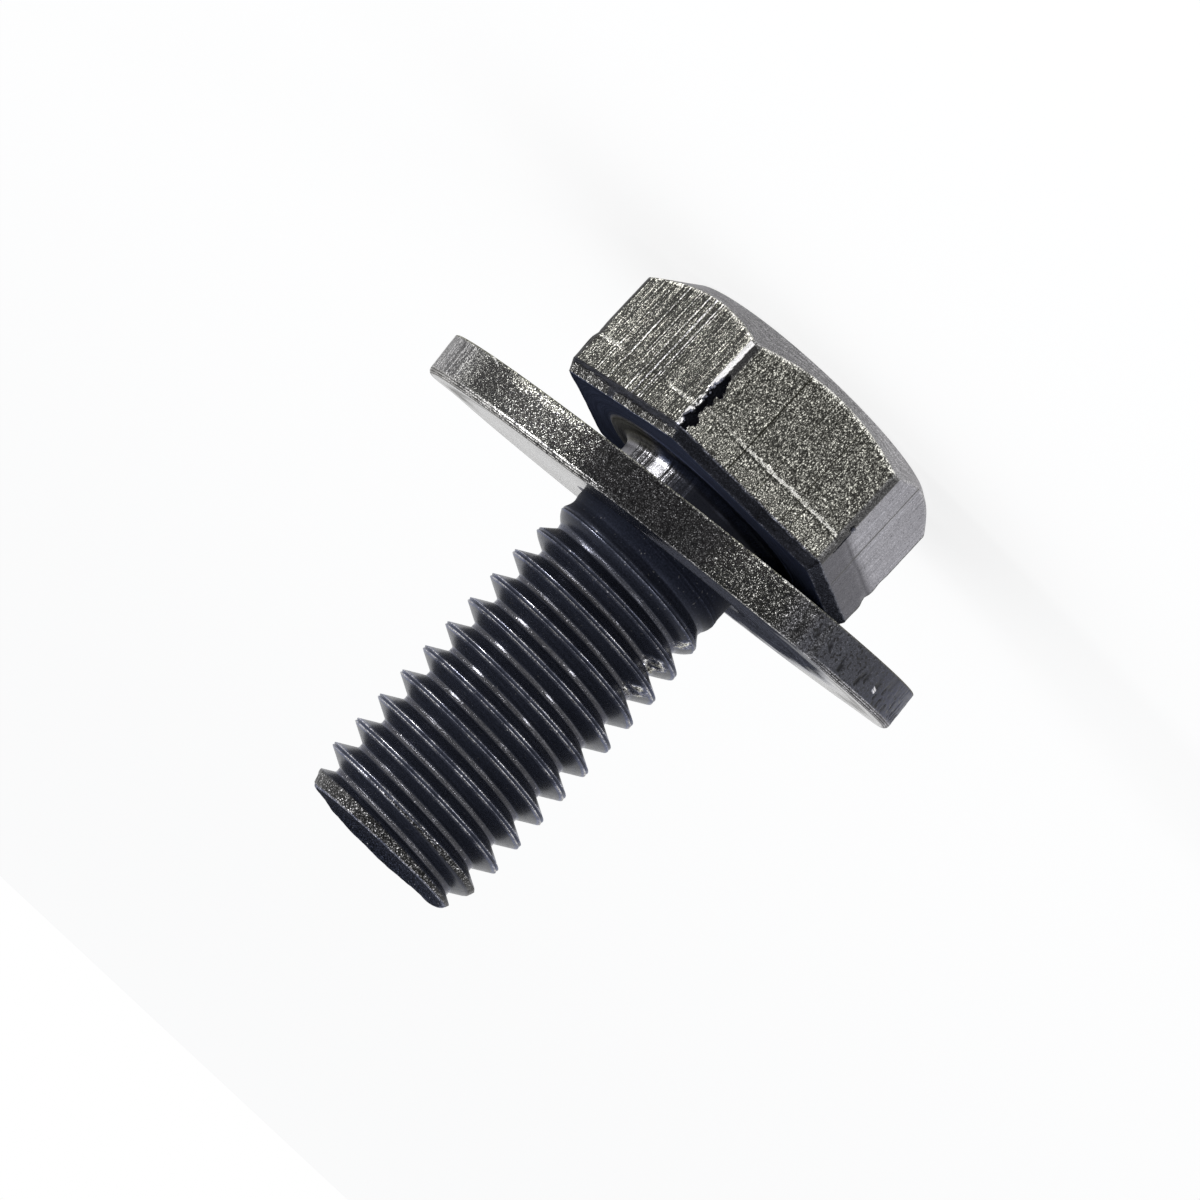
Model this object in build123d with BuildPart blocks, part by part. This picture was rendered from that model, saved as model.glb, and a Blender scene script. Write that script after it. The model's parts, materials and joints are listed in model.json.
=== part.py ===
"""Hexagon-head screw with a loose, captive flat washer, M8 x 1.25 x 18.

The screw is cold headed and rolled from one piece of wire.  The thread is
rolled after the washer is put on, so its crests stand wider than the washer's
bore and the washer can spin, slide and lean on the plain shank, but never
leave it.  The thread is modelled as the solid inside its crests.  The screw
stands on the flat top of its head, at the origin, with its tip up.
Millimetres.
"""

from build123d import *
from math import atan2, cos, degrees, radians, sin, sqrt, tan
import os

# ---- Driving dimensions: screw ----------------------------------------------
screw_length = 18.0       # from under the head to the tip
shank_diameter = 7.1      # plain wire under the head, about the pitch diameter
underhead_fillet = 0.45   # between the shank and the head
thread_diameter = 7.8     # over the rolled crests
crest_run_out = 2.6       # over which the crests rise from the plain shank
tip_taper_length = 1.5    # cone that takes the last crests down to the end
tip_diameter = 6.8        # over the end
cup_diameter = 5.6        # hollow that rolling leaves in the end
cup_depth = 0.3

# ---- Driving dimensions: hexagon head ---------------------------------------
across_flats = 12.8
corner_round = 0.4        # of the six upright edges
head_height = 5.85
crown_diameter = 11.87    # flat circle on the top of the head
crown_angle = 35.0        # of the cone round that circle, from the flat
crown_shift = 0.25        # the flats are trimmed this far off the crown's centre
crown_heading = 150.0     # direction of that shift, degrees from +X
skirt_height = 0.53       # bevel round the lower edge of the six flats
skirt_inset = 0.21        # how far that bevel draws in

# ---- Driving dimensions: washer ---------------------------------------------
washer_diameter = 22.1
washer_thickness = 1.65
washer_lean = 7.1         # how far it hangs askew on the shank
lean_heading = 142.6      # where its rim comes nearest the head, from +X
bore_play = 0.07          # least gap between the leaning bore and the shank
seat_gap = 0.03           # least gap between the washer and the head
thread_gap = 0.4          # least gap between the bore and the thread's start
die_roll = 0.16           # rounded rim on the side that meets the work
bore_break = 0.15         # broken edges of the bore

# ---- Worked-out sizes: screw ------------------------------------------------
shank_radius = shank_diameter / 2
thread_radius = thread_diameter / 2
tip_radius = tip_diameter / 2
tip_height = head_height + screw_length
cup_sphere = (cup_diameter**2 / 4 + cup_depth**2) / (2 * cup_depth)
skirt_taper = degrees(atan2(skirt_inset, skirt_height))
crown_centre = Vector(crown_shift, 0, 0).rotate(Axis.Z, crown_heading)
crown_reach = across_flats / 2 / cos(radians(30)) + crown_shift

# ---- Worked-out places: washer ----------------------------------------------
lean = radians(washer_lean)
half_thickness = washer_thickness / 2
bore_radius = (shank_radius + bore_play + half_thickness * sin(lean)) / cos(lean)

# The leaning washer meets the corner of the head that lies nearest its lean.
low_round = max(corner_round - skirt_inset, 0)
corner_radius = (across_flats / 2 - skirt_inset - low_round) / cos(radians(30))
corner_headings = [60 * corner for corner in range(6)]
corner_aim = max(cos(radians(heading - lean_heading)) for heading in corner_headings)
corner_lift = (corner_radius * corner_aim + low_round) * tan(lean)

# Its bore also has to clear the fillet under the head.
fillet_run = max(shank_radius + underhead_fillet - bore_radius, 0)
fillet_drop = underhead_fillet - sqrt(underhead_fillet**2 - fillet_run**2)
fillet_lift = fillet_drop + bore_radius * tan(lean) - bore_break

washer_lift = seat_gap + max(corner_lift, fillet_lift)
washer_height = head_height + washer_lift + half_thickness / cos(lean)
washer_axis = Vector(sin(lean), 0, cos(lean)).rotate(Axis.Z, lean_heading)
washer_plane = Plane(origin=(0, 0, washer_height), z_dir=washer_axis)

# The thread starts just past the far side of the leaning bore.
bore_depth = half_thickness / cos(lean) + bore_radius * tan(lean)
thread_start = washer_height + bore_depth + thread_gap

os.makedirs("parts", exist_ok=True)

# ---- Screw ------------------------------------------------------------------
with BuildPart() as screw:
    # Hexagonal head with rounded corners, its two flats facing -Y and +Y.
    with BuildSketch():
        RegularPolygon(across_flats / 2, 6, major_radius=False)
    extrude(amount=head_height - skirt_height)
    fillet(screw.edges().filter_by(Axis.Z), radius=corner_round)

    # Bevelled skirt, where the flats end just above the bearing side.
    skirt_face = screw.faces().sort_by(Axis.Z)[-1]
    extrude(skirt_face, amount=skirt_height, taper=skirt_taper)

    # Crown: a cone round the flat top takes the six corners off in arcs.
    with BuildSketch(Plane(origin=crown_centre, x_dir=(1, 0, 0), z_dir=(0, -1, 0))):
        with BuildLine():
            crown_rise = (crown_reach - crown_diameter / 2) * tan(radians(crown_angle))
            Polyline(
                (0, 0),
                (crown_diameter / 2, 0),
                (crown_reach, crown_rise),
                (crown_reach, head_height),
                (0, head_height),
                close=True,
            )
        make_face()
    revolve(axis=Axis(crown_centre, (0, 0, 1)), mode=Mode.INTERSECT)

    # Plain shank, thread over its crests, and tapered tip.
    with BuildSketch(Plane.XZ):
        with BuildLine():
            Polyline(
                (0, head_height),
                (shank_radius, head_height),
                (shank_radius, thread_start),
                (thread_radius, thread_start + crest_run_out),
                (thread_radius, tip_height - tip_taper_length),
                (tip_radius, tip_height),
                (0, tip_height),
                close=True,
            )
        make_face()
    revolve(axis=Axis.Z)

    # Fillet where the shank meets the bearing side.
    circles = screw.edges().filter_by(GeomType.CIRCLE)
    bearing_circles = circles.filter_by_position(Axis.Z, head_height, head_height)
    fillet(bearing_circles.sort_by(SortBy.RADIUS)[-1], radius=underhead_fillet)

    # Hollow in the end of the tip.
    with Locations((0, 0, tip_height - cup_depth + cup_sphere)):
        Sphere(cup_sphere, mode=Mode.SUBTRACT)
screw.part.label = "screw"
export_step(screw.part, "parts/screw.step")

# ---- Flat washer ------------------------------------------------------------
with BuildPart() as flat_washer:
    with BuildSketch(washer_plane):
        Circle(washer_diameter / 2)
        Circle(bore_radius, mode=Mode.SUBTRACT)
    extrude(amount=half_thickness, both=True)

    # The blank's die roll faces the work; both edges of the bore are broken.
    circles = flat_washer.edges().filter_by(GeomType.CIRCLE).sort_by(SortBy.RADIUS)
    work_side_rim = circles[-2:].sort_by(Axis((0, 0, 0), washer_axis))[-1]
    fillet(work_side_rim, radius=die_roll)
    circles = flat_washer.edges().filter_by(GeomType.CIRCLE).sort_by(SortBy.RADIUS)
    chamfer(circles[:2], length=bore_break)
flat_washer.part.label = "flat_washer"
export_step(flat_washer.part, "parts/flat_washer.step")
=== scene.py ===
"""Looks of a hexagon-head screw with a loose, captive flat washer.

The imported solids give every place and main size.  Three pieces stand for the
two CAD nodes: the head with its plain shank, the rolled thread, and the
washer.  Lengths are worked out in millimetres and written to the meshes in
metres.  Each piece carries its finish as values on its points: how light the
steel is, how rough, how grainy, how streaked, how warm and how matt.
"""

import json
from math import atan, ceil, cos, pi, radians, sin, tan

import bpy
import numpy as np
from mathutils import Matrix, Vector


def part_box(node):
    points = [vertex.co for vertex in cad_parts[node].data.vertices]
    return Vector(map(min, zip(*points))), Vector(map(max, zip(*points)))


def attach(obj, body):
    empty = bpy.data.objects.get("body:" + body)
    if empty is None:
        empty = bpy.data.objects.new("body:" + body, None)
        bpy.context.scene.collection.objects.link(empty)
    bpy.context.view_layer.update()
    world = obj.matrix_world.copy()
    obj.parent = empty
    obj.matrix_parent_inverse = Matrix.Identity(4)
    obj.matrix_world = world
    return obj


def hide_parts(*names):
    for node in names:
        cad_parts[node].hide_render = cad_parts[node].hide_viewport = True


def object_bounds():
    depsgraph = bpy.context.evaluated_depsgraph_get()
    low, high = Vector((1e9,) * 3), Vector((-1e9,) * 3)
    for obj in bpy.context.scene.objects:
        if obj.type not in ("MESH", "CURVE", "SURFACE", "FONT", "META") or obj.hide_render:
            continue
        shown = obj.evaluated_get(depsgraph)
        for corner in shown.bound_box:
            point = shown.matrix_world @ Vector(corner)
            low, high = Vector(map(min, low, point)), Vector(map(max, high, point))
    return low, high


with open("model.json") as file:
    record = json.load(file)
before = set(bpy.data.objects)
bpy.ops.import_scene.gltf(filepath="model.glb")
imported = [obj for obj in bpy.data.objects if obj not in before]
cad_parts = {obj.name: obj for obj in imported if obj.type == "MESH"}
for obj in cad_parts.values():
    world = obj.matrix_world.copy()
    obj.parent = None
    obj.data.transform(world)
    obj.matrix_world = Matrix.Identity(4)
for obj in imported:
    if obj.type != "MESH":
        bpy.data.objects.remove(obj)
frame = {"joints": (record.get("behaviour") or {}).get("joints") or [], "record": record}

MM = .001
cad_box = [list(corner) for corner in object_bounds()]

# ---- Sizes and places read from the frame, in millimetres
screw_low, screw_high = [np.array(corner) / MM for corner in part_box("screw")]
mounts = {mount["name"]: mount for mount in frame["record"]["mounts"]}
spin = frame["joints"][0]
tip_height = screw_high[2]
across_flats = screw_high[1] - screw_low[1]
crest_radius = mounts["thread"]["dims"]["r_mm"]
washer_centre = np.array(spin["pos_m"]) / MM
washer_axis = np.array(spin["axis"])
shank_end = washer_centre[2]    # the plain shank ends out of sight in the bore

# ---- Sizes of the head
SECTOR = radians(60)            # one flat of the hexagon
apothem = across_flats / 2
corner_round = .4
flat_half = (apothem - corner_round) * tan(SECTOR / 2)  # to where a corner's round starts
head_height = 5.85
crown_radius = 5.935
crown_slope = tan(radians(35.0))
crown_shift, crown_heading = .25, radians(150.0)
crown_x = crown_shift * cos(crown_heading)
crown_y = crown_shift * sin(crown_heading)
skirt_height = .53
skirt_start = head_height - skirt_height
skirt_inset = .21
crease_height = 4.16            # where the trimming die broke through
edge_soft = .05                 # rounding of the head's sharp edges

# ---- Sizes of the shank
shank_radius = 3.55
fillet = .45                    # under the head
fillet_ring = 4.66              # radius of the faint step round the fillet

# ---- Sizes of the thread
pitch = 1.25
thread_depth = .79
crest_height = 15.906           # a crest line passes here at crest_heading
crest_heading = radians(9.66)
crest_gain = (8.7, 11.9)        # heights between which the crests rise from the shank
root_gain = (8.9, 11.2)         # and between which the roots sink in
tip_radius = 3.4
tip_taper = 1.5

# ---- Sizes of the washer
washer_radius = 11.05
washer_half = .825
bore_radius = 3.751
bore_break = .15
die_roll = .16
burr = .1                       # how far the blanked edge stands out, where it does

FLAT_A, FLAT_B, FLAT_C = 5, 4, 3    # flats whose middles face 330, 270 and 210 degrees
VIEW = radians(280.72)          # heading of the camera, which the wear and the painted light are placed by


# ======== Small helpers ========
def ramp(value, low, high):
    return np.clip((value - low) / (high - low), 0, 1)


def ease(value, low, high):
    """A smooth step from 0 at low to 1 at high."""
    t = ramp(value, low, high)
    return t * t * (3 - 2 * t)


def bell(value, middle, width):
    return np.exp(-((value - middle) / width) ** 2)


def between(value, low, high, soft):
    """1 from low to high, falling to 0 over a soft margin on each side."""
    return ease(value, low - soft, low) * ease(value, high + soft, high)


def turned(heading, degrees_from_x):
    """Angle in degrees from a heading given in degrees, -180 to 180."""
    return (np.degrees(heading) - degrees_from_x + 180) % 360 - 180


def mixed(start, end, share):
    """The value part way from start to end."""
    return start * (1 - share) + end * share


class Grain:
    """Repeatable noise, about -1 to 1, whose smooth bumps have a size in millimetres."""

    CELLS = 32

    def __init__(self, seed, size):
        self.table = np.random.default_rng(seed).uniform(-1, 1, (self.CELLS,) * 3)
        self.size = np.broadcast_to(size, 3)

    def __call__(self, x, y, z=.0):
        place = np.broadcast_arrays(*(v / s for v, s in zip((x, y, z), self.size)))
        cell = [np.floor(v).astype(int) for v in place]
        part = [ease(v - c, 0, 1) for v, c in zip(place, cell)]
        total = 0
        for step in range(8):
            bits = (step & 1, step >> 1 & 1, step >> 2)
            weight = 1
            for p, bit in zip(part, bits):
                weight = weight * (p if bit else 1 - p)
            index = tuple((c + bit) % self.CELLS for c, bit in zip(cell, bits))
            total = total + weight * self.table[index]
        return total


FIELDS = ("tone", "rough", "grain", "streak", "warm", "across", "matt")


def finish(tone, rough, grain, streak=.0, warm=.0, across=.0, matt=.0):
    """What the steel looks like, everywhere or at each point."""
    return dict(zip(FIELDS, (tone, rough, grain, streak, warm, across, matt)))


def blend(first, second, share):
    """A finish part way from the first to the second."""
    return {field: mixed(first[field], second[field], share) for field in FIELDS}


def columns_of(values, count):
    """A table with a column for each value and this many rows."""
    return np.column_stack([np.broadcast_to(value, count) for value in values])


class Rings:
    """Closed rings of points round the z axis, stacked into one skin with its finish."""

    def __init__(self, heading):
        self.heading = heading
        self.count = len(heading)
        self.ux, self.uy = np.cos(heading), np.sin(heading)
        self.points = []
        self.looks = []

    def add(self, x, y, z, look):
        self.points.append(columns_of((x, y, z), self.count))
        self.looks.append(columns_of(look.values(), self.count))

    def add_round(self, reach, z, look, across=None):
        """Adds a ring this far from the axis."""
        if across is not None:
            look["across"] = across
        self.add(self.ux * reach, self.uy * reach, z, look)

    def faces(self):
        faces = []
        for row in range(len(self.points) - 1):
            a = row * self.count
            b = a + self.count
            for column in range(self.count):
                after = (column + 1) % self.count
                faces.append((a + column, b + column, b + after, a + after))
        return faces

def fan(ring, centre):
    """Triangles from a ring of point numbers to one centre point."""
    return [(ring[i - 1], ring[i], centre) for i in range(len(ring))]


def new_object(name, data):
    obj = bpy.data.objects.new(name, data)
    bpy.context.scene.collection.objects.link(obj)
    return obj


def new_piece(name, points, faces, looks, body, node, material, sharp=35.0):
    """Makes a mesh object from points in millimetres and rides it on its body."""
    mesh = bpy.data.meshes.new(name)
    mesh.from_pydata((np.asarray(points) * MM).tolist(), [], faces)
    for field, values in zip(FIELDS, np.asarray(looks, np.float32).T):
        layer = mesh.attributes.new(field, "FLOAT", "POINT")
        layer.data.foreach_set("value", np.ascontiguousarray(values))
    mesh.polygons.foreach_set("use_smooth", [True] * len(mesh.polygons))
    mesh.validate()
    mesh.set_sharp_from_angle(angle=radians(sharp))
    mesh.materials.append(material)
    piece = new_object(name, mesh)
    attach(piece, body)
    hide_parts(node)


# ======== Steel ========
TINT = (.995, .985, 1.035)      # colour of plain steel, which its tone scales
WARM_TINT = (.035, .03, -.125) # what each unit of warmth adds: yellow above 0, blue below
NAVY_TINT = (-.02, .015, .0)   # and what each unit of cold adds to that
BRIGHTEST = .92                 # no grain gets lighter than this
METAL_TONES = (.012, .07)       # dark grains are oxide, light ones are bare metal
NOISE_SPREAD = (.4, .6)         # where most values of a noise node lie


class Nodes:
    """Short names for the shader nodes used below."""

    def __init__(self, owner):
        owner.use_nodes = True
        self.tree = owner.node_tree

    def new(self, kind, inputs=(), **settings):
        node = self.tree.nodes.new("ShaderNode" + kind)
        for key, value in settings.items():
            setattr(node, key, value)
        self.fill(node, inputs)
        return node

    def fill(self, node, inputs):
        """Links sockets to a node's inputs, and sets numbers and colours on them."""
        for key, value in dict(inputs).items():
            if isinstance(value, bpy.types.NodeSocket):
                self.tree.links.new(value, node.inputs[key])
            else:
                node.inputs[key].default_value = value

    def field(self, name):
        return self.new("Attribute", attribute_name=name).outputs["Fac"]

    def math(self, operation, *values):
        return self.new("Math", enumerate(values), operation=operation).outputs[0]

    def plus(self, first, second):
        return self.math("ADD", first, second)

    def times(self, first, second):
        return self.math("MULTIPLY", first, second)

    def vector(self, operation, *values):
        return self.new("VectorMath", enumerate(values), operation=operation).outputs[0]

    def scaled(self, vector, scale):
        return self.new("VectorMath", {0: vector, "Scale": scale}, operation="SCALE").outputs[0]

    def tripled(self, value):
        return self.new("CombineXYZ", {"X": value, "Y": value, "Z": value}).outputs[0]

    def clamp(self, value):
        return self.new("Clamp", {"Value": value}).outputs[0]

    def noise(self, vector, size, detail=2.0, roughness=.6):
        """Noise whose bumps are about this size, in millimetres."""
        inputs = {"Vector": vector, "Scale": 1 / (size * MM), "Detail": detail,
                  "Roughness": roughness}
        return self.new("TexNoise", inputs).outputs["Fac"]

    def remap(self, value, from_range, low, high):
        inputs = {"Value": value, "From Min": from_range[0], "From Max": from_range[1],
                  "To Min": low, "To Max": high}
        return self.new("MapRange", inputs, clamp=False).outputs["Result"]

    def mix(self, share, first, second):
        inputs = {0: share, 1: first.outputs[0], 2: second.outputs[0]}
        return self.new("MixShader", inputs).outputs[0]

    def bump(self, height, depth, **inputs):
        """A bump this many millimetres deep."""
        inputs = {"Height": height, "Distance": depth * MM, **inputs}
        return self.new("Bump", inputs).outputs[0]


def streak_noise(nodes, place, across, size):
    """Streaks that run along lines where "across" stays the same."""
    aside = nodes.new("CombineXYZ", {"X": nodes.times(across, MM)}).outputs[0]
    lane = nodes.vector("ADD", aside, nodes.scaled(place, .03))
    return nodes.noise(lane, size, detail=3.0, roughness=.7)


def line_power(nodes, place, across, lines):
    """How much the drawn lines lighten the steel. Each comes and goes along its length."""
    patchy = nodes.remap(nodes.noise(place, .6, detail=3.0), (.35, .65), .75, 1.1)
    total = .0
    for middle, half_width, gain in lines:
        away = nodes.math("ABSOLUTE", nodes.math("SUBTRACT", across, middle))
        share = nodes.clamp(nodes.remap(away, (.0, half_width), 1.6, .0))
        total = nodes.plus(total, nodes.times(share, gain))
    return nodes.times(total, patchy)


def steel_tint(nodes, warmth):
    """Above 0 the steel yellows, below 0 it turns navy."""
    tint = nodes.vector("MULTIPLY_ADD", nodes.tripled(warmth), WARM_TINT, TINT)
    cold = nodes.math("MAXIMUM", nodes.times(warmth, -1.0), .0)
    return nodes.vector("MULTIPLY_ADD", nodes.tripled(cold), NAVY_TINT, tint)


def steel(name, grains, streaks, contrast, specks, sparse=.78, stretch=1.0, lines=()):
    """Black-oxide steel, with the size and depth of its grains and streaks in millimetres.

    Specks above 0 are light spots and below 0 dark ones, few where sparse is high.
    Each line is its place in "across", its half width, and how much it lightens.
    """
    material = bpy.data.materials.new(name)
    nodes = Nodes(material)
    place = nodes.new("TexCoord").outputs["Object"]
    across, grain, streaky = [nodes.field(field) for field in ("across", "grain", "streak")]

    # speckle in two sizes, drawn out along the screw by the stretch
    drawn = nodes.vector("MULTIPLY", place, (1, 1, 1 / stretch))
    fine = nodes.noise(drawn, grains[0], detail=1.0)
    coarse = nodes.noise(place, grains[0] * 3.2)
    speckle = nodes.plus(nodes.times(fine, .8), nodes.times(coarse, .2))
    streak = streak_noise(nodes, place, across, streaks[0])

    # lightness varies by ratios, as the speckle of rolled steel does
    grain_power = nodes.remap(speckle, NOISE_SPREAD, -contrast, contrast)
    streak_power = nodes.remap(streak, NOISE_SPREAD, -.45, .45)
    power = nodes.plus(nodes.times(grain_power, grain), nodes.times(streak_power, streaky))
    # sparse spots, light or dark, of no colour of their own
    spot = nodes.noise(place, .11, detail=.0)
    spot = nodes.clamp(nodes.remap(spot, (sparse, sparse + .04), 0, 1))
    power = nodes.plus(power, nodes.times(spot, specks))
    warmth = nodes.times(nodes.field("warm"), nodes.math("SUBTRACT", 1.0, spot))
    if lines:
        drawn_in = line_power(nodes, place, across, lines)
        power = nodes.plus(power, drawn_in)
        warmth = nodes.math("SUBTRACT", warmth, nodes.times(drawn_in, .3))
    tone = nodes.times(nodes.field("tone"), nodes.math("EXPONENT", power))
    tone = nodes.math("MINIMUM", tone, BRIGHTEST)
    tint = steel_tint(nodes, warmth)

    # matt oxide covers dark and light grains alike
    metal = nodes.clamp(nodes.remap(tone, METAL_TONES, .0, 1.0))
    gloss = nodes.math("SUBTRACT", 1.0, nodes.field("matt"))
    uneven = nodes.remap(coarse, (.3, .7), -.04, .04)
    pits = nodes.bump(nodes.times(speckle, grain), grains[1])
    ridges = nodes.bump(nodes.times(streak, streaky), streaks[1], Normal=pits)
    nodes.fill(nodes.tree.nodes["Principled BSDF"], {
        "Base Color": nodes.scaled(tint, tone),
        "Metallic": nodes.times(metal, gloss),
        "Roughness": nodes.plus(nodes.field("rough"), uneven),
        "Specular IOR Level": nodes.times(gloss, .25),
        "Specular Tint": nodes.scaled(tint, .6),
        "Normal": ridges,
    })
    return material


# ======== Head and shank ========
# Columns of points on each flat, closest together where the draw marks are.
FLAT_COLUMNS = {FLAT_A: 180, FLAT_B: 180, FLAT_C: 70}
OTHER_COLUMNS, CORNER_COLUMNS = 48, 24

# Draw marks: place across the flat and half width in millimetres, and how much
# lighter (above 0) or darker (below 0) the line is.
DRAW_MARKS = {
    FLAT_A: [(3.05, .04, .7), (2.75, .03, .7), (2.17, .045, 1.3), (1.98, .03, .7),
             (1.75, .03, .6), (1.33, .055, 2.2), (.68, .045, 1.1), (.55, .03, .7),
             (.4, .03, .5), (.093, .055, 1.9), (-.342, .065, 2.9), (-.748, .055, 2.7),
             (-.875, .045, 2.0), (-1.6, .04, .8), (-2.08, .03, .5), (-2.37, .03, .6),
             (-2.86, .045, .9)],
    FLAT_B: [(2.9, .04, -.5), (2.4, .04, .3), (1.28, .04, -3.0), (.3, .04, -.4),
             (-.075, .035, -1.3), (-.14, .035, .5), (-1.49, .032, -1.8),
             (-1.92, .03, -.8), (-2.7, .03, -.5)],
    FLAT_C: [(2.2, .12, .2), (1.00, .07, -1.8), (.6, .1, .22), (-.5, .06, -.2)],
}
STREAKS = {FLAT_A: 2.9, FLAT_B: .7, FLAT_C: .3}
FACE_APART = 20.0       # keeps the flats' "across" values apart

# Painted highlights on the upright edges, partly polish from handling: heading in degrees, half
# width, and how bright.
UPRIGHT_HIGHLIGHTS_AND_POLISH = [(301.5, .12, 1.0), (2.3, .08, .5), (118.0, .08, .5)]

# Torn spots on the upright edges: heading in degrees, height, half width, half height.
TORN_SPOTS = [(238.8, 3.54, .24, .08), (237.9, 4.1, .06, .5), (61.0, 4.6, .22, .3),
              (60.0, 3.6, .1, .3)]

# Gentle knocks on the upright edges: heading in degrees, height, half height, depth.
KNOCKS = [(180.6, 4.22, .22, .1), (180.6, 3.3, .3, .03), (357.5, 3.9, .3, .04)]

# Half width of the long tear down the edge between flats A and B, from height to height.
TEAR_HEADING = radians(299.4)
TEAR = [(2.68, .0), (2.8, .1), (2.95, .12), (3.02, .18), (3.08, .13), (3.3, .27),
        (3.34, .22), (3.52, .36), (3.6, .17), (3.72, .15), (3.95, .23), (4.05, .11),
        (4.55, .11), (4.68, .22), (4.88, .36), (5.00, .24), (5.12, .1), (5.3, .1)]

# Rows of points by the crease, in millimetres from it.
CREASE_ROWS = (-.34, -.26, -.19, -.14, -.1, -.07, -.045, -.02, .0, .02, .045, .07,
               .095, .12, .15, .19, .26, .34)

# Noise on the head: seed and size.
crown_wave = Grain(3, 1.6)
edge_chips = Grain(4, .3)
pitted = Grain(6, .12)
torn_rag = Grain(7, .07)
crease_wave = Grain(8, 1.3)
skirt_rag = Grain(9, (.3, .3, .12))
skirt_bare = Grain(10, .16)
skirt_tatter = Grain(13, .8)


def hexagon_columns():
    """Headings of the columns of points, closer together towards the corners."""
    edge = atan(flat_half / apothem)
    headings = []
    for flat in range(6):
        middle = SECTOR * (flat + .5)
        share = np.linspace(-1, 1, FLAT_COLUMNS.get(flat, OTHER_COLUMNS))
        share = .45 * share + .55 * np.sin(share * pi / 2)
        headings += list(middle + np.arctan(flat_half * share / apothem))
        headings += list(middle + np.linspace(edge, SECTOR - edge, CORNER_COLUMNS + 2)[1:-1])
    return np.array(headings)


class HeadRings(Rings):
    """The head's rings, which know the flat and the corner that each column is on."""

    def __init__(self):
        super().__init__(hexagon_columns())
        offset = self.heading % SECTOR - SECTOR / 2
        self.across = apothem * np.tan(offset)      # from the middle of its flat
        centre = (apothem - corner_round) / cos(SECTOR / 2)
        to_corner = SECTOR / 2 - np.abs(offset)
        bulge = np.sqrt(np.maximum(corner_round**2 - (centre * np.sin(to_corner))**2, 0))
        arc = centre * np.cos(to_corner) + bulge
        on_flat = np.abs(self.across) <= flat_half
        self.radius = np.where(on_flat, apothem / np.cos(offset), arc)
        self.xy = self.x, self.y = self.radius * self.ux, self.radius * self.uy
        self.corner = ease(np.abs(self.across), flat_half - .08, flat_half + .05)
        self.flat = np.floor(self.heading / SECTOR).astype(int) % 6
        self.on_a, self.on_b, self.on_c = [
            np.where(self.flat == number, 1.0, .0) for number in (FLAT_A, FLAT_B, FLAT_C)]
        self.smooth = self.on_c * (1 - self.corner)     # flat C is smoother, and painted lighter as a painted reflection
        self.lane = self.across + FACE_APART * self.flat
        self.tatter = skirt_tatter(self.x, self.y)

    def add_out(self, push, z, look):
        """Adds a ring this far outside the hexagon."""
        self.add(self.x + self.ux * push, self.y + self.uy * push, z, look)

    def along(self, heading):
        """Distance round the head from a heading in radians."""
        return (self.heading - heading) * self.radius


def flat_lines():
    """The draw marks as lines for the steel, the bright ones with dark sides."""
    lines = []
    for flat, marks in DRAW_MARKS.items():
        for place, half_width, gain in marks:
            middle = place + FACE_APART * flat
            lines.append((middle, half_width, gain))
            if gain > 1.0:
                for side in (-1, 1):
                    lines.append((middle + side * 1.75 * half_width, .8 * half_width, -1.7))
    return lines


def draw_marks(head):
    """Height of the draw marks, with a few faint ones at random places."""
    height = np.zeros_like(head.across)
    rng = np.random.default_rng(5)
    for number in range(6):
        here = head.flat == number
        for place, _, gain in DRAW_MARKS.get(number, []):
            height += here * .004 * gain * bell(head.across, place, .05)
        spare = 10 if number == FLAT_A else 4
        spare_marks = zip(rng.uniform(-3.5, 3.5, spare), rng.uniform(.04, .09, spare),
                          rng.uniform(-.006, .006, spare))
        for place, width, tall in spare_marks:
            height += here * tall * bell(head.across, place, width)
    return height * (1 - head.corner)


def torn(head, z, rag):
    """How torn each point is, 0 to 1."""
    worst = np.zeros_like(head.heading)
    for spot_heading, spot_z, half_width, half_height in TORN_SPOTS:
        along = head.along(radians(spot_heading))
        far = np.hypot(along / half_width, (z - spot_z) / half_height)
        worst = np.maximum(worst, ease(far + .75 * rag, 1.15, .85))
    heights, half_widths = zip(*TEAR)
    half_width = np.interp(z, heights, half_widths, left=-1, right=-1)
    away = np.abs(head.along(TEAR_HEADING)) + .08 * rag
    return np.maximum(worst, ease(away, half_width + .015, half_width - .015))


def edge_highlight_and_polish(head, z, rag):
    """How much painted highlight, partly polish, each point has; the edge between flats A and B is
    broken low down.
    """
    share = np.zeros_like(head.heading)
    for edge_heading, half_width, amount in UPRIGHT_HIGHLIGHTS_AND_POLISH:
        away = np.abs(head.along(radians(edge_heading)) + .03 * rag)
        share = np.maximum(share, amount * ease(away, half_width + .03, half_width))
    broken = between(z, 3.5, 4.42, .06) + .7 * ease(z, 4.88, 4.94)
    kept = ease(rag, .1, .35)
    return share * (1 - np.clip(broken, 0, 1) * (1 - kept))


def cone(x, y):
    """Height of the cone round the crown's flat circle."""
    return np.maximum(np.hypot(x - crown_x, y - crown_y) - crown_radius, 0) * crown_slope


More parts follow.
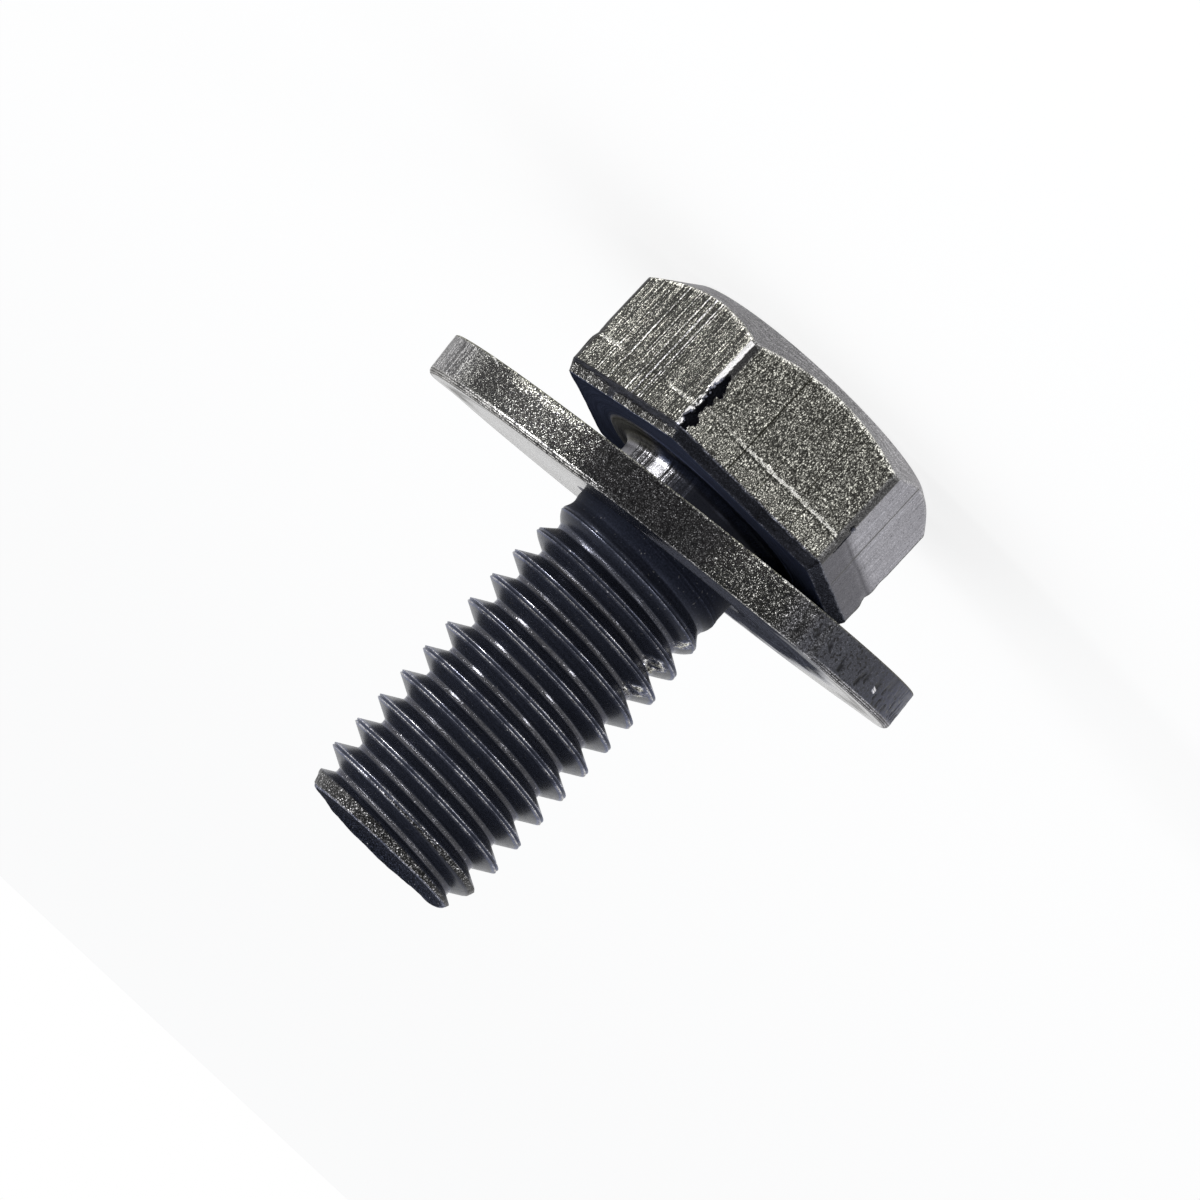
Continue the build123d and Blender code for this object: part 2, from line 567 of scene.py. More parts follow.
def crown_rings(head):
    """The flat circle and the cone round it, a little off the hexagon's centre."""
    edge_x, edge_y = crown_x + crown_radius * head.ux, crown_y + crown_radius * head.uy
    # painted reflection: the crown is lighter on the side towards heading 215
    reflection_side = radians(215)
    toward_reflection = head.ux * cos(reflection_side) + head.uy * sin(reflection_side)
    crown = finish(tone=.27 + .17 * ease(toward_reflection, .55, 1.0), rough=.34, grain=.42, streak=.45, warm=.2)
    for share in (.02, .3, .6, .8, .92, .985):
        reach = share * crown_radius
        x, y = crown_x + reach * head.ux, crown_y + reach * head.uy
        dish = .012 * crown_wave(x, y) * ease(share, 1.0, .8)
        crown["across"] = reach
        head.add(x, y, np.maximum(dish, 0), crown)
    for share in (.0, .05, .2, .4, .6, .8, .95):
        x = edge_x + (head.x - edge_x) * share
        y = edge_y + (head.y - edge_y) * share
        crown["across"] = crown_radius + share
        head.add(x, y, cone(x, y), crown)


def flat_finish(head):
    """The flats' own finish, before their corners' and all wear."""
    streaks = np.select([head.flat == number for number in STREAKS], list(STREAKS.values()), .6)
    # flat C's tone is raised by a painted reflection
    return finish(tone=.057 - .032 * head.on_a + .34 * head.smooth,
                  rough=.42 - .12 * head.smooth,
                  grain=1.15 + .55 * head.on_a - .9 * head.smooth,
                  streak=streaks * (1 - head.corner), warm=1 - head.smooth,
                  across=head.lane)


def worn_highlight_band(head, plain, worn, top):
    """Adds a worn band with a painted highlight where the flats meet the crown; returns the wear
    and highlight below it.
    """
    chip = .5 + .5 * edge_chips(*head.xy)
    for share, push in ((.0, .45), (.35, .15), (.75, .02), (1.3, .0)):
        rise = edge_soft * (share - .3 + .3 * chip)
        # painted highlight along the edge, stronger on flat B, broken by chips
        bright = (.35 + .65 * chip) * (.5 + .5 * head.on_b) * ease(share, 1.6, .6)
        head.add_out(-edge_soft * push, top + rise, blend(plain, worn, bright))
    on_b_wear_and_highlight = .2 + .5 * ease(head.across, .5, -.3)
    return (.1 + .9 * chip) * (.3 + head.on_b * on_b_wear_and_highlight)


def crease_line(head):
    """Height of the crease that trimming left, and how much its lip is torn."""
    crease = crease_height + .03 * crease_wave(*head.xy) - .044 * head.across * head.on_a
    on_b_lip = .3 + .7 * ease(head.across, 2.0, .9)
    left_end, right_end = ease(head.across, 1.6, 2.0), ease(head.across, -1.4, -1.9)
    lip = head.on_b * on_b_lip + head.on_a * (.55 * right_end + .6 * left_end)
    lip = np.where(head.on_a + head.on_b + head.on_c > 0, lip, .5) * (1 - head.corner)
    return crease, lip


def flat_heights(top, crease):
    """Heights of the rings down the flats, closest together by the crease."""
    upper = [mixed(top + 1.6 * edge_soft, crease - .4, share) for share in np.linspace(0, 1, 40)]
    near = [crease + offset for offset in CREASE_ROWS]
    lower = [mixed(crease + .4, skirt_start - edge_soft, share) for share in np.linspace(0, 1, 14)]
    return upper + near + lower


def flat_push(head, z, off, marks, hurt):
    """How far a ring of the flats stands out, off millimetres past the crease."""
    depth = 1.0 - .65 * head.on_a - .8 * head.on_c
    push = marks * (1 - .5 * ease(off, -.1, .1))
    push = push + .004 * pitted(*head.xy, z) * (1 - head.smooth)
    push = push - .03 * depth * bell(off, -.1, .13)
    push = push + .045 * depth * ease(off, -.08, .07)
    push = push - .035 * depth * ease(off, .2, skirt_start - crease_height)
    push = push - .15 * hurt
    for knock_heading, knock_z, half_height, knock_depth in KNOCKS:
        along = np.radians(turned(head.heading, knock_heading)) * head.radius
        push = push - knock_depth * bell(z, knock_z, half_height) * bell(along, 0, .45)
    return push


def torn_lip(head, z, off, lip):
    """How bare a ring of the flats is where the crease's lip is torn."""
    reach = .055 + .05 * pitted(*head.xy)
    lip = between(off, -reach, .7 * reach, .04) * lip
    return np.clip(lip * (.8 + .9 * pitted(*head.xy, 2 * z + 9)), 0, 1)


def crease_shade(head, off):
    """Painted shade and light: how the flats' tone changes towards the crease and past it."""
    shade = 1 - .28 * bell(off, -.19, .09) - .55 * bell(off, .12, .04) * head.on_b
    shade = shade + (.28 * head.on_b - .1 * head.on_a) * ease(off, .14, .22)
    return shade - .66 * head.smooth * ease(off, -.75, .2)


def flat_rings(head, flats, worn):
    """The six flats: draw marks, the crease left by trimming, torn upright edges."""
    lit_corner = ease(np.abs(turned(head.heading, 240)), 5, 2)
    corners = finish(tone=.024 + .045 * lit_corner, rough=.35, grain=.5, streak=.1,
                     warm=.3, across=head.lane)
    # near white: the painted highlight, partly polish, on the upright edges
    highlight_and_polish = finish(.92, .16, .12, .2, .3, across=head.lane)
    dark = finish(.004, .9, .3, .0, -2.0, across=head.lane, matt=1.0)
    plain = blend(flats, corners, head.corner)
    top = cone(*head.xy)
    top_wear_and_highlight = worn_highlight_band(head, plain, worn, top)
    marks = draw_marks(head)
    crease, lip = crease_line(head)
    for z in flat_heights(top, crease):
        off = z - crease
        rag = torn_rag(*head.xy, z)
        hurt = torn(head, z, rag)
        bare = np.maximum(torn_lip(head, z, off, lip), top_wear_and_highlight * ease(z - top, .15, .06))
        look = blend(plain, worn, bare)
        look["tone"] = look["tone"] * crease_shade(head, off)
        look = blend(look, highlight_and_polish, edge_highlight_and_polish(head, z, rag))
        head.add_out(flat_push(head, z, off, marks, hurt), z, blend(look, dark, hurt))


def skirt_rings(head, flats):
    """The bevelled skirt, with a ragged upper edge; on flat A its lower part is bare."""
    bevel = finish(tone=.009 + .022 * head.on_c, rough=.45, grain=.6, streak=.1, warm=-1.5,
                   matt=.2 + .8 * head.on_c)
    yellowed = finish(.7, .3, .8, .2, 3.0)
    seen = (head.flat == FLAT_B) | (head.flat == FLAT_C)
    other = np.where(seen, .0, .4) * (1 - head.on_a)
    start = .42 - .15 * ease(head.across, .9, 1.2)
    missing = 1 - .9 * between(head.across, .55, .9, .08)
    glint = .5 + .5 * skirt_bare(*head.xy)
    for share in (.0, .05, .1, .18, .26, .34, .42, .5, .6, .7, .8, .88, .95, 1.0):
        inset = skirt_inset * share - .01 + .012 * skirt_rag(*head.xy, 2 * share)
        z = skirt_start + .02 + (skirt_height - .6 * edge_soft - .02) * share
        z = z + .05 * skirt_rag(*head.xy, 5.0) * (1 - share)
        inset = inset + .05 * head.tatter * share
        edge = start + .16 * skirt_bare(*head.xy, 3 * share)
        lighter = .8 * head.on_a * ease(share, edge - .05, edge + .05) * missing + other
        look = blend(bevel, flats, lighter)
        upper = .22 * bell(share, .02, .035) * glint * (1 - head.on_a)
        look = blend(look, yellowed, upper + .18 * bell(share, 1.0, .05) * glint)
        look["across"] = head.lane + FACE_APART / 2     # away from the draw marks
        head.add_out(-inset, z, look)


def underside_rings(head, hollow, ring, left):
    """The underside and the faint step round the fillet."""
    under = finish(.08, .6, .12, .35, -4.0, matt=1.0)
    begin = head.radius - skirt_inset - .05 * head.tatter
    for share in (.02, .06, .2, .4, .6, .8, .95):
        reach = mixed(begin, fillet_ring + .12, share)
        z = head_height - .02 * ease(share, .0, .1)
        head.add_round(reach, z, under, across=reach)
    for offset in (.08, .05, .02, -.02, -.06, -.12, -.25, -.45):
        step = .05 * ease(offset, .04, -.06)
        # painted highlight on the step's edges, on the side facing the key lamp
        glint = left * (.9 * bell(offset, .03, .035) + .5 * bell(offset, -.25, .06))
        look = blend(blend(under, hollow, ease(offset, .02, -.04)), ring, glint)
        reach = fillet_ring + offset
        head.add_round(reach, head_height - .02 + step, look, across=reach)


def neck_finish(head):
    """The shank by the head, with a painted glint and painted sheen where it faces the light."""
    heading = head.heading
    # painted glint and sheen on the side facing the key lamp
    glint = between(turned(heading, 315.6), -4.2, 4.2, 2.0)
    painted_sheen = ease(np.abs(turned(heading, 356)), 15, 12)
    lined = between(turned(heading, 317), -26, 28, 6) * (1 - painted_sheen)
    lined = lined * (.3 + .7 * ease(turned(heading, 304), -9, 4))
    return finish(tone=.01 + .06 * lined + .24 * painted_sheen + .8 * glint,
                  rough=.3 - .12 * glint, grain=.1 + .5 * lined,
                  streak=.3 + 3.4 * lined - 3.0 * glint * lined,
                  warm=-2.0 * (1 - lined - painted_sheen), across=heading * shank_radius)


def neck_rings(head, hollow, ring, left):
    """The fillet and the plain shank."""
    neck = neck_finish(head)
    inner = shank_radius + fillet
    for turn in np.radians(np.linspace(0, 90, 9)):
        reach = inner - fillet * sin(turn)
        z = head_height + fillet * (1 - cos(turn))
        look = blend(hollow, neck, ease(turn, .9, 1.3))
        # painted highlight on the fillet, on the side facing the key lamp
        look = blend(look, ring, left * bell(turn, .75, .22))
        head.add_round(reach, z, look, across=head.heading * shank_radius)
    for z in np.linspace(head_height + fillet + .05, shank_end, 6):
        head.add_round(shank_radius, z, neck)


def build_head():
    head = HeadRings()
    flats = flat_finish(head)
    # bare steel at worn and torn edges, and the painted highlight along the crown's edge
    worn = finish(.74, .25, 1.0, .2, .6, across=head.lane)
    crown_rings(head)
    flat_rings(head, flats, worn)
    skirt_rings(head, flats)
    # the side facing the key lamp, which gets painted light on the hollow, the faint step and the
    # fillet
    left = ease(np.abs(turned(head.heading, 352)), 38, 20)
    # the colour of the painted highlight on the step and the fillet
    ring = finish(.2, .35, .3, .3, .3)
    # lighter and warmer towards the key lamp: painted light
    hollow = finish(tone=.014 + .022 * left, rough=.38, grain=.3, streak=.5,
                    warm=-4.0 + 5.5 * left, matt=.8)
    underside_rings(head, hollow, ring, left)
    neck_rings(head, hollow, ring, left)

    points = np.vstack(head.points + [[[crown_x, crown_y, 0], [0, 0, shank_end]]])
    looks = np.vstack(head.looks + [head.looks[0][:1], head.looks[-1][:1]])
    ends = len(points) - 2      # the two points that close the head
    faces = head.faces()
    faces += fan(range(head.count), ends)
    faces += fan(range(ends - head.count, ends)[::-1], ends + 1)
    material = steel("head_steel", grains=(.038, .01), streaks=(.075, .016),
                     contrast=1.3, specks=-1.5, stretch=1.6, lines=flat_lines())
    new_piece("screw_head", points, faces, looks, "screw", "screw", material)


# ======== Thread and tip ========
THREAD_COLUMNS = 256

# Rows of points in half a pitch, as shares of the pitch from a crest, and in a whole one.
HALF_PITCH = (0, .022, .045, .062, .08, .13, .19, .25, .31, .37, .405, .44)
WHOLE_PITCH = np.array([*HALF_PITCH, .5, *[1 - step for step in reversed(HALF_PITCH[1:])]])

# The end of the screw: share of the tip's radius, and rise above its last ring.
CUP = [(.985, .03), (.965, .055), (.94, .068), (.91, .06), (.87, .02), (.8, -.06),
       (.7, -.15), (.55, -.23), (.35, -.28), (.15, -.3)]

# Torn crests: heading in degrees, height, half width, half height, and how far they stand out.
TORN_CRESTS = [(212, 10.55, .5, .26, .05), (218, 11.95, .85, .3, .2), (217, 13.12, .75, .28, .18)]

# Noise on the thread: seed and size.
crest_fray = Grain(31, .22)
crest_crumple = Grain(34, .13)
crest_bites = Grain(32, (1.1, 1.1, .5))
crest_breaks = Grain(35, .45)
end_dents = Grain(33, .6)


def thread_share(phase):
    """Share of the full depth at a phase of -.5 to .5 pitch from a crest."""
    crest_half, root_half = .062, .085
    flank = 1 - (np.abs(phase) - crest_half) / (.5 - root_half - crest_half)
    # a shallow seam along the crest, left where the rolled flanks meet
    return np.clip(flank, 0, 1) - .05 * bell(phase, 0, .022)


def thread_skin(heading, z):
    """Radius of the thread, the phase from its crest, and how far the tip is worn in."""
    turn = heading - crest_heading
    phase = ((z - crest_height) / pitch + turn / (2 * pi) + .5) % 1 - .5
    full = crest_radius - thread_depth * (1 - thread_share(phase)) - shank_radius
    gain = np.where(full > 0, ramp(z, *crest_gain), ramp(z, *root_gain))
    radius = shank_radius + full * gain
    limit = tip_radius + (tip_height - z) * (crest_radius - tip_radius) / tip_taper
    worn = np.minimum(radius, limit)
    return worn, phase, ease(radius - worn, .0, .05)


def torn_crests(heading, z):
    """How crumpled each point is, and how far it stands out."""
    hurt, out = np.zeros_like(z), np.zeros_like(z)
    for spot_heading, spot_z, half_width, half_height, reach in TORN_CRESTS:
        along = np.radians(turned(heading, spot_heading)) * crest_radius
        slope = along * pitch / (2 * pi * crest_radius)
        far = np.hypot(along / half_width, (z + slope - spot_z) / half_height)
        share = ease(far, 1.2, .7)
        hurt, out = np.maximum(hurt, share), np.maximum(out, reach * share)
    return hurt, out


def thread_finish(phase, z, worn, bared):
    """Oxide in the grooves and on the flanks, bare steel where the crests are rubbed."""
    lines = phase * pitch
    flank = finish(.014, .28, .22, .3, -2.8, across=lines, matt=.35)
    shaded = finish(.011, .55, .2, .3, -3.5, across=lines, matt=.85)
    bright = finish(.8, .26, 1.4, .4, across=lines)
    bottom = finish(.058, .14, .25, .8, -.4, across=lines)
    end = finish(.0135, .38, 1.6, .1, .3, across=lines, matt=.4)
    root = ease(np.abs(phase), .4, .425) * ramp(z, *root_gain)
    look = blend(blend(flank, bottom, root), shaded, ease(z, 9.8, 9.1))
    navy = look["warm"]
    look = blend(look, bright, bared)
    # the navy goes as soon as the oxide thins
    look["warm"] = navy * (1 - bared)**4 + .9 * (1 - (1 - bared)**4)
    return blend(look, end, worn)


def thread_surface(heading, z):
    """The thread's points and finish. Its crests are frayed, most where it starts."""
    radius, phase, worn = thread_skin(heading, z)
    grown = ramp(z, *crest_gain)
    x, y = radius * np.cos(heading), radius * np.sin(heading)
    fray, crumple = crest_fray(x, y, z), crest_crumple(x, y, z)
    bite = ease(crest_bites(x, y, z), .35, .75)
    crest = bell(phase, 0, .075) * grown
    start = ease(z, 13.2, 10.5)
    hurt, stands = torn_crests(heading, z)
    radius = radius + crest * (.008 * fray - (.015 + .05 * start) * bite)
    radius = radius + .02 * worn * fray + stands * (.6 + .7 * crumple)

    # a thin bright line each side of a crest, broken here and there
    edge = bell(np.abs(phase), .066, .013)
    whole = ease(crest_breaks(x, y, z), -.45, .35)
    whole = whole * (.45 + .55 * ease(z, 11.0, 13.5))
    bared = (.8 * edge + .04 * crest) * (.25 + .75 * whole) * grown
    bared = np.maximum(bared, .7 * hurt * ease(crumple, -.5, .3))
    points = np.column_stack([radius * np.cos(heading), radius * np.sin(heading), z])
    return points, thread_finish(phase, z, worn, bared)


def thread_grid(heading, low, high):
    """Heights and numbers of rows of points that follow the helix.

    Points past either end take the number of one in a ring there, after the grid's own.
    """
    first = crest_height - ceil((crest_height - low) / pitch + 1) * pitch
    turns = int((high - first) / pitch) + 3
    base = np.concatenate([first + pitch * (turn + WHOLE_PITCH) for turn in range(turns)])
    z = base[:, None] - pitch * (heading - crest_heading)[None, :] / (2 * pi)
    ring_low = z.size + np.arange(len(heading))
    ring_high = ring_low + len(heading)
    index = np.where(z <= low, ring_low[None, :], np.arange(z.size).reshape(z.shape))
    index = np.where(z >= high, ring_high[None, :], index)
    return z, index.tolist(), ring_low.tolist(), ring_high.tolist()


def thread_faces(index):
    """Faces of the grid. Past its last column the helix has moved by a whole pitch."""
    faces = []
    for row, (low, high) in enumerate(zip(index, index[1:])):
        back = row - len(WHOLE_PITCH)
        if back >= 0:
            low, high = low + index[back][:1], high + index[back + 1][:1]
        for i in range(1, len(low)):
            corners = dict.fromkeys((low[i - 1], low[i], high[i], high[i - 1]))
            if len(corners) > 2:
                faces.append(tuple(corners))
    return faces


def end_rings(heading, high):
    """Points and finish of the rounded lip, with a painted highlight on its near side, and of the
    end, left hollow by the rolling.
    """
    scale = finish(.01, 1.0, .8, .2, -3.0, matt=.75)
    rolled = finish(.26, .32, 1.0, .2, 2.0)
    far_side = ease(np.cos(heading - VIEW), .3, -.6)
    to_right = ease(np.sin(heading - VIEW), .95, .3)
    near_highlight = 1 - .9 * far_side
    for share, rise in CUP:
        reach = tip_radius * share
        x, y = reach * np.cos(heading), reach * np.sin(heading)
        z = high + rise + .03 * end_dents(x, y) * ease(rise, .06, -.1)
        stand = .2 * to_right + .045 * end_dents(.6 * x, .6 * y)
        stand = stand + .01 * end_dents(3 * x, 3 * y)
        z = z + stand * far_side * ease(share, .85, .95)
        chips = .6 + .4 * end_dents(2 * x + 5, 2 * y)
        # painted highlight along the near side of the lip
        lip = blend(scale, rolled, chips * near_highlight * bell(share, .975, .015))
        lip["across"] = reach
        yield np.column_stack([x, y, z]), columns_of(lip.values(), len(heading))


def without_spare_points(points, faces, looks):
    """The same mesh without the points that no face uses."""
    used = np.zeros(len(points), bool)
    for face in faces:
        used[list(face)] = True
    number = (np.cumsum(used) - 1).tolist()
    faces = [tuple(number[i] for i in face) for face in faces]
    return np.array(points)[used], faces, np.array(looks)[used]


def build_thread():
    heading = np.arange(THREAD_COLUMNS) * 2 * pi / THREAD_COLUMNS
    low, high = shank_end, tip_height - .07
    grid, index, ring_low, ring = thread_grid(heading, low, high)
    z = np.concatenate([grid.ravel(), np.full(THREAD_COLUMNS, low), np.full(THREAD_COLUMNS, high)])
    points, look = thread_surface(np.tile(heading, len(grid) + 2), z)
    points, looks = list(points), list(columns_of(look.values(), len(z)))
    faces = thread_faces(index)
    for end_points, end_looks in end_rings(heading, high):
        current = list(range(len(points), len(points) + THREAD_COLUMNS))
        points += list(end_points)
        looks += list(end_looks)
        faces += [(ring[i - 1], ring[i], current[i], current[i - 1]) for i in range(THREAD_COLUMNS)]
        ring = current
    points += [np.array([0, 0, high + CUP[-1][1]]), np.array([0, 0, low])]
    looks += [looks[-1], looks[0]]
    faces += fan(ring, len(points) - 2)
    faces += fan(ring_low[::-1], len(points) - 1)
    points, faces, looks = without_spare_points(points, faces, looks)
    material = steel("thread_steel", grains=(.055, .008), streaks=(.07, .01),
                     contrast=1.3, specks=1.9)
    new_piece("screw_thread", points, faces, looks, "screw", "screw", material,
              sharp=50.0)


# ======== Washer ========
WASHER_COLUMNS = 860

# Small marks on the rim: heading in degrees, height, half width, half height, and rise.
RIM_MARKS = [(335.7, -.74, .3, .02, .015), (221.8, .17, .1, .09, .05)]

# Noise on the washer: seed and size.
face_streaks = Grain(40, (.3, 2.0, 1.0))
patch_border_noise = Grain(41, 1.2)
swell = Grain(42, 2.5)
rim_grain = Grain(43, .16)
rim_dashes = Grain(44, (.13, .13, .38))
rim_rag = Grain(45, .5)
rim_chips = Grain(46, .45)

# Finishes of the washer's edges.
bare_edge = finish(.42, .3, .5, .3, .4)
dark_line = finish(.03, .5, .4, .3, .6)
rusty_edge = finish(.14, .4, .4, .3, 2.0)
shiny_mark = finish(.9, .25, .2, .0, .2)


class WasherRings(Rings):
    """The washer's rings, which know where its edge and rim are worn."""

    def __init__(self):
        super().__init__(np.arange(WASHER_COLUMNS) * 2 * pi / WASHER_COLUMNS)
        self.x, self.y = washer_radius * self.ux, washer_radius * self.uy
        self.to_left = np.sin(self.heading - VIEW)      # 1 at the left of the picture
        self.front = ease(np.cos(self.heading - VIEW), -.5, -.1)
        self.ragged = rim_rag(self.x, self.y)
        self.chips = ease(rim_chips(self.x, self.y), -.45, .45)
        # the blanked edge stands out in places, and lines left by the die follow it
        left = ease(self.to_left, .22, .42) * self.front
        right = ease(self.to_left, -.55, -.75) * self.front
        self.lined = np.maximum(left, .8 * right)
        self.stand = burr * np.maximum(left, .6 * right)
        # the edge on the other side is bare near the middle of the picture
        self.strong = (between(self.to_left, -.46, -.2, .05)
                       + .35 * between(self.to_left, -.2, .25, .08))


def rim_finish(washer, z):
    """The rim's look: sparkling, wrinkled at the far left, smooth at the right."""
    to_left, ragged = washer.to_left, washer.ragged
    lane = washer.heading * washer_radius
    front = ease(np.cos(washer.heading - VIEW) + .12 * ragged, -.4, -.08)
    wrinkled = ease(to_left, .82, .95) * front
    smooth = ease(to_left + .06 * ragged, -.4, -.66) * front
    calm = between(to_left, -.1, .32, .1) * front
    tone = .008 + .0015 * ease(to_left, .15, .55) + .056 * smooth
    tone = tone + .002 * ease(to_left, -.1, -.4)
    rim = finish(tone=tone, rough=.36, grain=1.6 - 1.35 * smooth - .45 * calm,
                 streak=.2 * smooth + .4 * calm, warm=.7 - 1.4 * smooth - .5 * calm,
                 across=lane, matt=.35 * (1 - smooth))
    bare = finish(.19, .34, .8, 2.8, .3, across=lane)
    burnish_and_highlight = finish(.075, .4, 1.1, 1.2, 1.0, across=lane)
    # a burnished band with a painted highlight below the head-side edge, over part of the rim
    band = ease(np.abs(turned(washer.heading, 317.5)), 13.0, 7.0)
    band = band * ease(z, .1 * ragged - .38, .1 * ragged - .48)
    return blend(blend(rim, bare, wrinkled), burnish_and_highlight, .75 * band)


def face_finish(washer, r):
    """The look of the washer's two flats: glossy black, with a painted dark reflection at the near
    right.
    """
    to_left = r * np.sin(washer.heading - VIEW)
    nearer = r * np.cos(washer.heading - VIEW)
    face = finish(.14, .12, .35, 1.6, .4, across=r)
    # a painted dark reflection with a ragged border on the near right of both flats
    dark_reflection_patch = finish(.06, .35, .15, 1.0, -1.5, across=r, matt=1.0)
    patch_rag = patch_border_noise(to_left, nearer) + .4 * face_streaks(to_left, nearer)
    far = np.hypot((to_left + 3.7) / 4.2, (nearer - 2.0) / 12.5) + .12 * patch_rag
    return blend(face, dark_reflection_patch, ease(far, 1.16, .86))


def add_face(washer, r, z, lift=.0):
    """Adds a ring of either flat, dark where a line follows the blanked edge."""
    wobble = .004 * swell(r * washer.ux, r * washer.uy, z)
    dark = washer.lined * bell(r, washer_radius - 1.4 - .3 * washer.ragged, .35)
    dark = dark * ease(z, 0, washer_half)
    look = blend(face_finish(washer, r), dark_line, .6 * dark)
    washer.add_round(r, z + wobble + lift, look, across=r)


def blanked_edge(washer):
    """The rolled edge: bright and dark lines where it stands out, dark elsewhere."""
    stand = washer.stand
    rim_edge = rim_finish(washer, washer_half - die_roll)
    for share in np.linspace(0, 1, 15):
        turn = radians(8 + 82 * share)
        r = washer_radius - die_roll * (1 - sin(turn))
        z = washer_half + stand - (die_roll + stand * .6) * (1 - cos(turn))
        stripe = .5 + .5 * cos(2 * pi * 3.0 * share)
        bright = ease(stripe + .35 * washer.ragged, .3, .6)
        thin = bell(share, .25, .12) * (.25 + .5 * washer.chips)
        look = blend(blend(rim_edge, bare_edge, thin), blend(dark_line, bare_edge, bright),
                     .9 * washer.lined)
        washer.add_round(r, z, look, across=z * 2)


def rim_rings(washer):
    """The rim: grain, pits at the right, small marks, and rust by its lower edge."""
    x, y = washer.x, washer.y
    top = washer_half - die_roll + washer.stand * .4
    bottom = -washer_half + .03
    right_half = ease(washer.to_left, -.45, -.6) * washer.front
    for share in np.linspace(.03, 1, 36):
        z = top + (bottom - top) * share
        rough = ease(share, .02, .1)
        lower_edge = bell(share, 1.0, .02)
        pits = ease(rim_dashes(x, y, z), .26, .4)
        pits = pits * (.35 + .65 * ease(z, -.4, .1))
        push = .008 * rim_grain(x, y, z) * rough - .04 * pits * rough * right_half
        push = push + .01 * swell(x, y, z)
        look = rim_finish(washer, z)
        look["tone"] = look["tone"] * (1 - .96 * pits * right_half)
        look = blend(look, rusty_edge, .55 * lower_edge)
        look = blend(look, bare_edge, .8 * washer.strong * washer.chips * lower_edge * washer.front)
        for mark_heading, mark_z, half_width, half_height, rise in RIM_MARKS:
            along = np.radians(turned(washer.heading, mark_heading)) * washer_radius
            beside = np.abs(z - mark_z + .3 * along) / half_height
            mark = ease(np.maximum(np.abs(along) / half_width, beside), 1.25, .9)
            look, push = blend(look, shiny_mark, mark), push + rise * mark
        washer.add_round(washer_radius + push, z, look)
    edge = blend(rim_finish(washer, -washer_half), rusty_edge, .7)
    edge = blend(edge, bare_edge, np.clip(washer.strong, 0, 1) * washer.chips * washer.front)
    washer.add_round(washer_radius - .03, -washer_half, edge)


def build_washer():
    washer = WasherRings()
    bore = finish(.03, .35, .3, .3, -2.0)
    for share in np.linspace(0, 1, 5):
        z = (washer_half - bore_break) * (2 * share - 1)
        washer.add_round(bore_radius, z, bore, across=share)
    inside, outside = bore_radius + bore_break, washer_radius - die_roll
    for share in np.linspace(0, 1, 22):
        r = mixed(inside, outside - .05, share)
        lift = washer.stand * ease(r, washer_radius - 2.5, outside)
        add_face(washer, r, washer_half, lift)
    blanked_edge(washer)
    rim_rings(washer)
    outside = washer_radius - .06
    for r in outside - (outside - inside) * np.linspace(0, 1, 20):
        add_face(washer, r, -washer_half)

    tilt = Vector((0, 0, 1)).rotation_difference(Vector(washer_axis)).to_matrix()
    points = np.vstack(washer.points) @ np.array(tilt).T + washer_centre
    faces = washer.faces()
    last = len(points) - WASHER_COLUMNS
    for i in range(WASHER_COLUMNS):
        after = (i + 1) % WASHER_COLUMNS
        faces.append((i, after, last + after, last + i))
    material = steel("washer_steel", grains=(.045, .01), streaks=(.11, .01),
                     contrast=1.55, specks=-1.8, sparse=.63)
    new_piece("washer", points, faces, np.vstack(washer.looks), "washer",
              "flat_washer", material)


# ======== Camera, light and floor ========
def place_camera():
    """Long lens, held so that the screw lies slantwise with its head up."""
    distance, height = 208.63, 34.92
    tip_down, yaw, roll = .1128, -.0011, .7494
    # worked out with the screw's tip pointing down, then turned over and about z
    forward = np.array([sin(yaw) * cos(tip_down), cos(yaw) * cos(tip_down), sin(tip_down)])
    right = np.array([cos(yaw), -sin(yaw), 0])
    up = np.cross(right, forward)
    across = cos(roll) * right + sin(roll) * up
    upward = -sin(roll) * right + cos(roll) * up
    turn = VIEW - radians(270)
    hold = np.array([[-cos(turn), -sin(turn), 0], [-sin(turn), cos(turn), 0], [0, 0, -1]])
    place = np.array([distance * cos(VIEW), distance * sin(VIEW), height]) * MM
    data = bpy.data.cameras.new("camera")
    data.sensor_width = 36.0
    data.lens = 165.97
    data.clip_start = .01
    data.clip_end = 40.0
    camera = new_object("camera", data)
    rows = zip(hold @ across, hold @ upward, -(hold @ forward), place)
    camera.matrix_world = Matrix([*rows, (0, 0, 0, 1)])
    bpy.context.scene.camera = camera


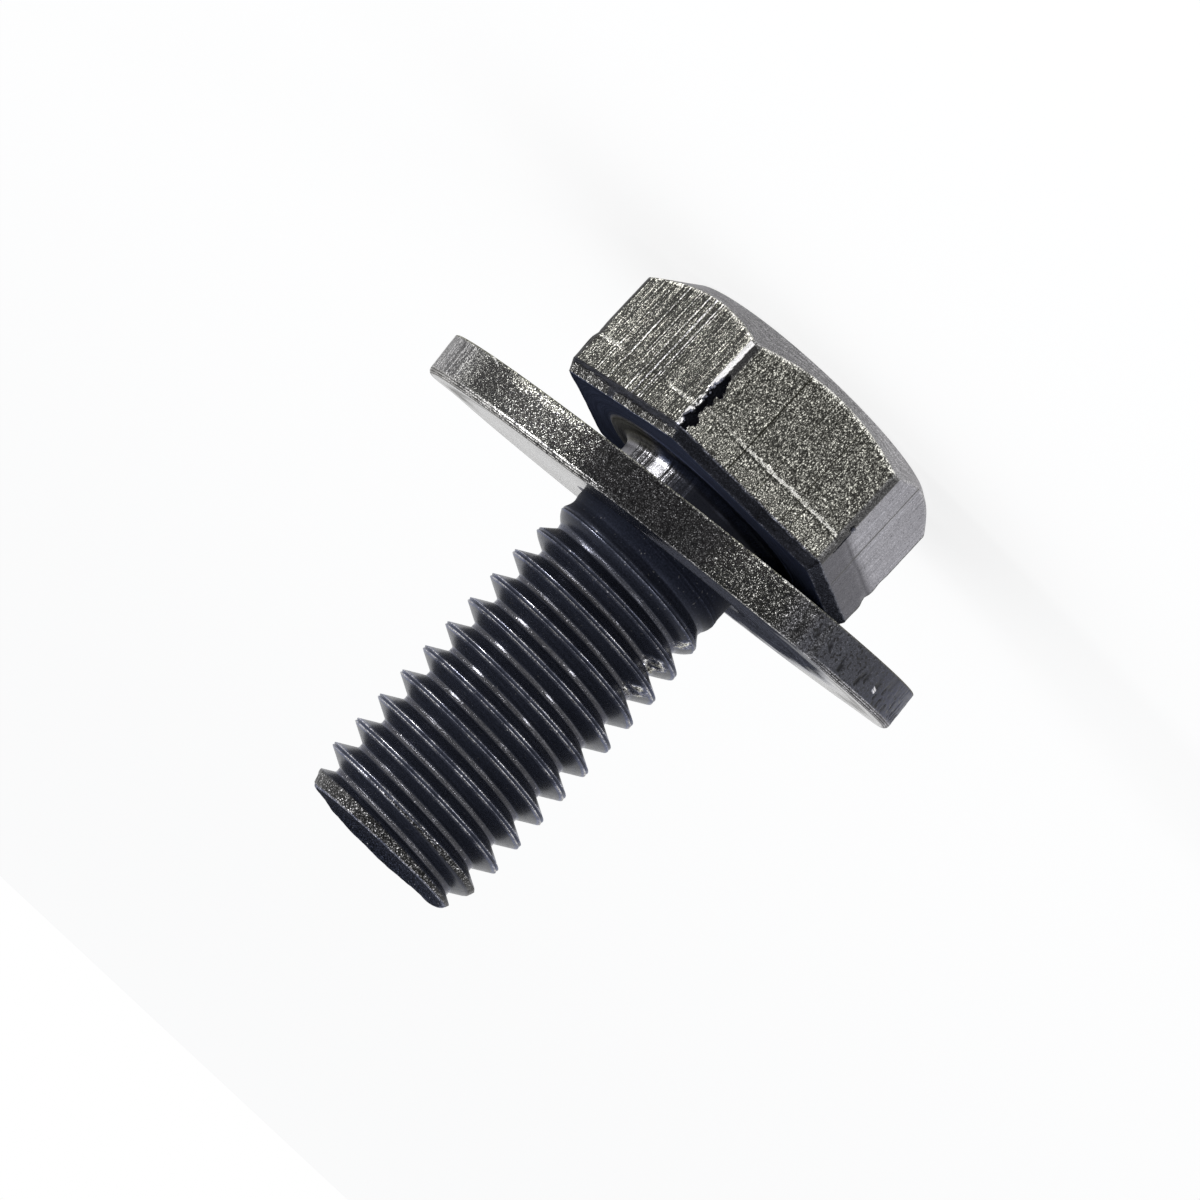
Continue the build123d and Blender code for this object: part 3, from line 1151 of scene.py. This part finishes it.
def area_lamp(name, heading, elevation, distance, size, power):
    """A square lamp that faces the middle of the part. Degrees and millimetres."""
    data = bpy.data.lights.new(name, "AREA")
    data.size = size * MM
    data.energy = power
    lamp = new_object(name, data)
    h, e = radians(heading), radians(elevation)
    middle = Vector((0, 0, 9 * MM))
    lamp.location = middle + distance * MM * Vector((cos(h) * cos(e), sin(h) * cos(e), sin(e)))
    lamp.rotation_euler = (middle - lamp.location).to_track_quat("-Z", "Y").to_euler()


def seen(nodes, *kinds):
    """1 to the camera's rays and to these kinds of ray, 0 to the rest."""
    path = nodes.new("LightPath").outputs
    share = path["Is Camera Ray"]
    for kind in kinds:
        share = nodes.math("MAXIMUM", share, path[f"Is {kind} Ray"])
    return share


def white_world():
    """Dim light on matt surfaces, and white to the camera and in reflections."""
    world = bpy.data.worlds.new("studio")
    bpy.context.scene.world = world
    nodes = Nodes(world)
    nodes.tree.nodes.clear()
    dim = nodes.new("Background", {"Color": (.97, .98, 1.0, 1), "Strength": .9})
    white = nodes.new("Background", {"Color": (1, 1, 1, 1), "Strength": 1.0})
    share = seen(nodes, "Glossy", "Transmission")
    nodes.new("OutputWorld", {"Surface": nodes.mix(share, dim, white)})


def floor_material():
    """Pale and matt, but nearly white to the camera and in reflections."""
    material = bpy.data.materials.new("floor")
    nodes = Nodes(material)
    nodes.tree.nodes.clear()
    share = nodes.times(seen(nodes, "Glossy"), .8)
    matt = nodes.new("BsdfDiffuse", {"Color": (.92, .92, .92, 1)})
    glow = nodes.new("Emission", {"Strength": 1.0})
    nodes.new("OutputMaterial", {"Surface": nodes.mix(share, matt, glow)})
    return material


def white_floor():
    """A wide pale floor under the head, which keeps the part's shadow."""
    reach = 12.0        # metres
    level = cad_box[0][2]
    mesh = bpy.data.meshes.new("floor")
    mesh.from_pydata([(-reach, -reach, level), (reach, -reach, level),
                      (reach, reach, level), (-reach, reach, level)], [], [(0, 1, 2, 3)])
    mesh.materials.append(floor_material())
    new_object("floor", mesh)


build_head()
build_thread()
build_washer()
place_camera()
white_world()
white_floor()
area_lamp("key", heading=352, elevation=9, distance=400, size=110, power=1.3)
area_lamp("fill", heading=249, elevation=9, distance=400, size=70, power=.35)
bpy.context.scene.view_settings.view_transform = "Standard"
